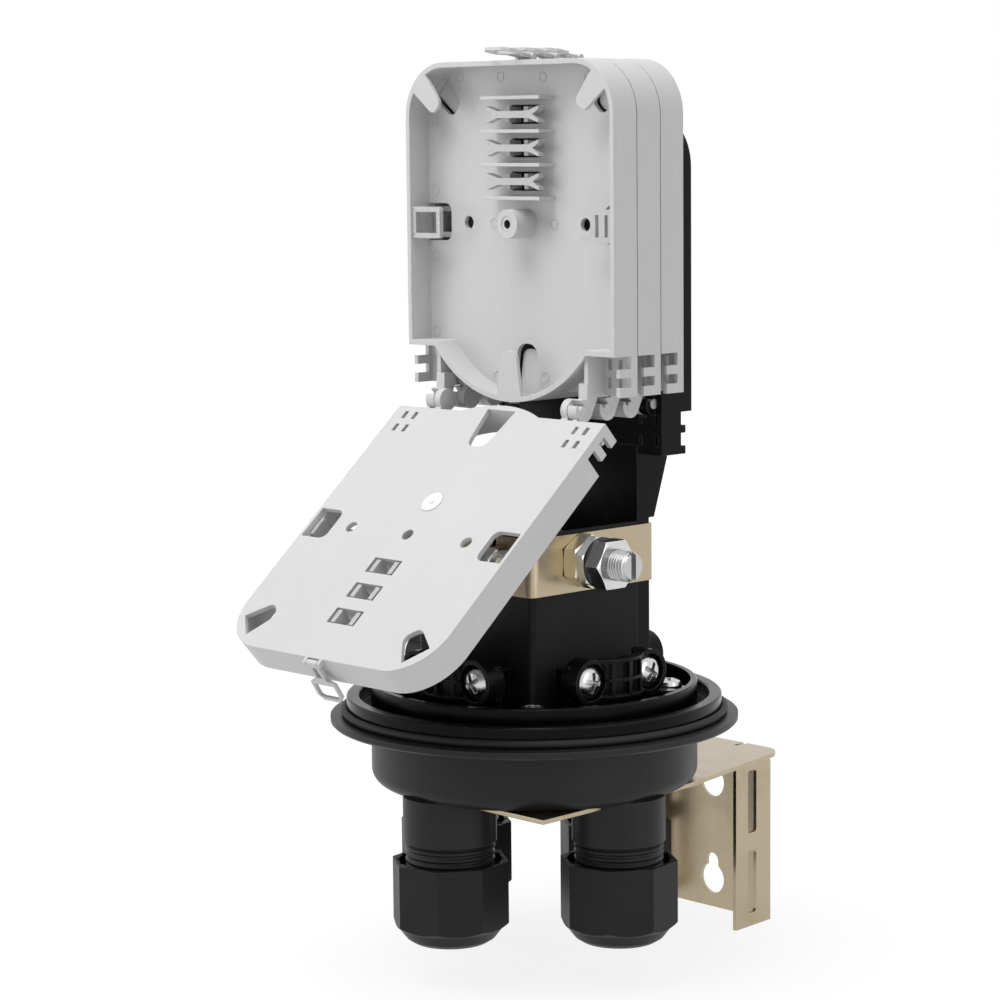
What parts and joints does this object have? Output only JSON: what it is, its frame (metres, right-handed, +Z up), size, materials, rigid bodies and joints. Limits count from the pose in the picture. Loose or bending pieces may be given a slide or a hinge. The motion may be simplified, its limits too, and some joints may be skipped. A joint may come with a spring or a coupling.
{
  "type": "fibre dome splice closure",
  "caption": "Round closure base with gland ports, upright tower, stack of hinged splice trays with one folded down, earth stud and folded wall bracket; dome cover off.",
  "frame": {"origin": "on the base's axis, at the foot of the ring that the dome cover fits round", "axes": "+Z up along the base's axis, the trays face -Y, the earth stud points to +X"},
  "size_m": [0.19, 0.2613, 0.424],
  "materials": {
    "black_moulding": "fine satin moulded black",
    "black_nut": "satin moulded black",
    "seal_rubber": "matt",
    "grey_tray": "satin moulded light grey",
    "clear_clip": "translucent",
    "yellow_zinc": "yellow passivated zinc",
    "bright_steel": "bright zinc plated",
    "dark_steel": "dark spring steel"
  },
  "bodies": {
    "base": {"base_housing": "black_moulding", "dome_seal_ring": "seal_rubber", "tower_housing": "black_moulding", "tray_holder": "black_moulding", "clamp_band": "yellow_zinc", "band_bolt": "bright_steel", "band_nut": "bright_steel", "earth_stud": "bright_steel", "stud_inner_nut": "yellow_zinc", "stud_lock_nut": "bright_steel", "stud_washer": "dark_steel", "stud_outer_nut": "bright_steel", "cable_clamp_front": "black_moulding", "cable_clamp_right": "black_moulding", "cable_clamp_back": "black_moulding", "cable_clamp_left": "black_moulding", "clamp_screws": "bright_steel", "bracket_bolts": "bright_steel", "bracket_washers": "bright_steel", "wall_bracket": "yellow_zinc", "gland_grommet_front": "seal_rubber", "gland_grommet_right": "seal_rubber", "gland_grommet_back": "seal_rubber", "gland_grommet_left": "seal_rubber"},
    "tray_4": {"splice_tray_4": "grey_tray", "tray_insert_4": "bright_steel", "splice_clips_4": "clear_clip", "side_clips_4": "clear_clip"},
    "tray_3": {"splice_tray_3": "grey_tray", "tray_insert_3": "bright_steel", "splice_clips_3": "clear_clip", "side_clips_3": "clear_clip", "latch_3": "grey_tray"},
    "tray_2": {"splice_tray_2": "grey_tray", "tray_insert_2": "bright_steel", "splice_clips_2": "clear_clip", "side_clips_2": "clear_clip", "latch_2": "grey_tray"},
    "tray_1": {"splice_tray_1": "grey_tray", "tray_insert_1": "bright_steel", "splice_clips_1": "clear_clip", "side_clips_1": "clear_clip"},
    "latch_4_link": {"latch_4": "grey_tray"},
    "latch_1_link": {"latch_1": "grey_tray"},
    "ring_front": {"gland_claw_front": "black_nut"},
    "nut_front": {"gland_nut_front": "black_nut"},
    "ring_right": {"gland_claw_right": "black_nut"},
    "nut_right": {"gland_nut_right": "black_nut"},
    "ring_back": {"gland_claw_back": "black_nut"},
    "nut_back": {"gland_nut_back": "black_nut"},
    "ring_left": {"gland_claw_left": "black_nut"},
    "nut_left": {"gland_nut_left": "black_nut"}
  },
  "joints": [
    {"name": "tray_4_hinge", "type": "hinge", "parent": "base", "child": "tray_4", "pos_m": [0, 0.02964, 0.1439], "axis": [1, 0, 0], "range_deg": [0, 3]},
    {"name": "tray_3_hinge", "type": "hinge", "parent": "tray_4", "child": "tray_3", "pos_m": [0, 0.01454, 0.1439], "axis": [1, 0, 0], "range_deg": [0, 3]},
    {"name": "tray_2_hinge", "type": "hinge", "parent": "tray_3", "child": "tray_2", "pos_m": [0, -0.00056, 0.1439], "axis": [1, 0, 0], "range_deg": [0, 3]},
    {"name": "tray_1_hinge", "type": "hinge", "parent": "tray_2", "child": "tray_1", "pos_m": [0, -0.01566, 0.1439], "axis": [1, 0, 0], "range_deg": [-131, 0]},
    {"name": "latch_4_hinge", "type": "hinge", "parent": "tray_4", "child": "latch_4_link", "pos_m": [0, 0.02864, 0.3014], "axis": [1, 0, 0], "range_deg": [-110, 0]},
    {"name": "latch_1_hinge", "type": "hinge", "parent": "tray_1", "child": "latch_1_link", "pos_m": [0, -0.13387, 0.03982], "axis": [1, 0, 0], "range_deg": [-110, 0]},
    {"name": "front_ring_slide", "type": "slide", "parent": "base", "child": "ring_front", "axis": [0, 0, -1], "range_m": [0, 0.012]},
    {"name": "front_nut_turn", "type": "hinge", "parent": "ring_front", "child": "nut_front", "pos_m": [0, -0.0544, -0.08], "axis": [0, 0, -1], "range_deg": [0, 1440]},
    {"name": "right_ring_slide", "type": "slide", "parent": "base", "child": "ring_right", "axis": [0, 0, -1], "range_m": [0, 0.012]},
    {"name": "right_nut_turn", "type": "hinge", "parent": "ring_right", "child": "nut_right", "pos_m": [0.0544, 0, -0.08], "axis": [0, 0, -1], "range_deg": [0, 1440]},
    {"name": "back_ring_slide", "type": "slide", "parent": "base", "child": "ring_back", "axis": [0, 0, -1], "range_m": [0, 0.012]},
    {"name": "back_nut_turn", "type": "hinge", "parent": "ring_back", "child": "nut_back", "pos_m": [0, 0.0544, -0.08], "axis": [0, 0, -1], "range_deg": [0, 1440]},
    {"name": "left_ring_slide", "type": "slide", "parent": "base", "child": "ring_left", "axis": [0, 0, -1], "range_m": [0, 0.012]},
    {"name": "left_nut_turn", "type": "hinge", "parent": "ring_left", "child": "nut_left", "pos_m": [-0.0544, 0, -0.08], "axis": [0, 0, -1], "range_deg": [0, 1440]}
  ],
  "couplings": [
    {"joint": "front_ring_slide", "follows": "front_nut_turn", "m_per_rad": 0.000477},
    {"joint": "right_ring_slide", "follows": "right_nut_turn", "m_per_rad": 0.000477},
    {"joint": "back_ring_slide", "follows": "back_nut_turn", "m_per_rad": 0.000477},
    {"joint": "left_ring_slide", "follows": "left_nut_turn", "m_per_rad": 0.000477}
  ]
}
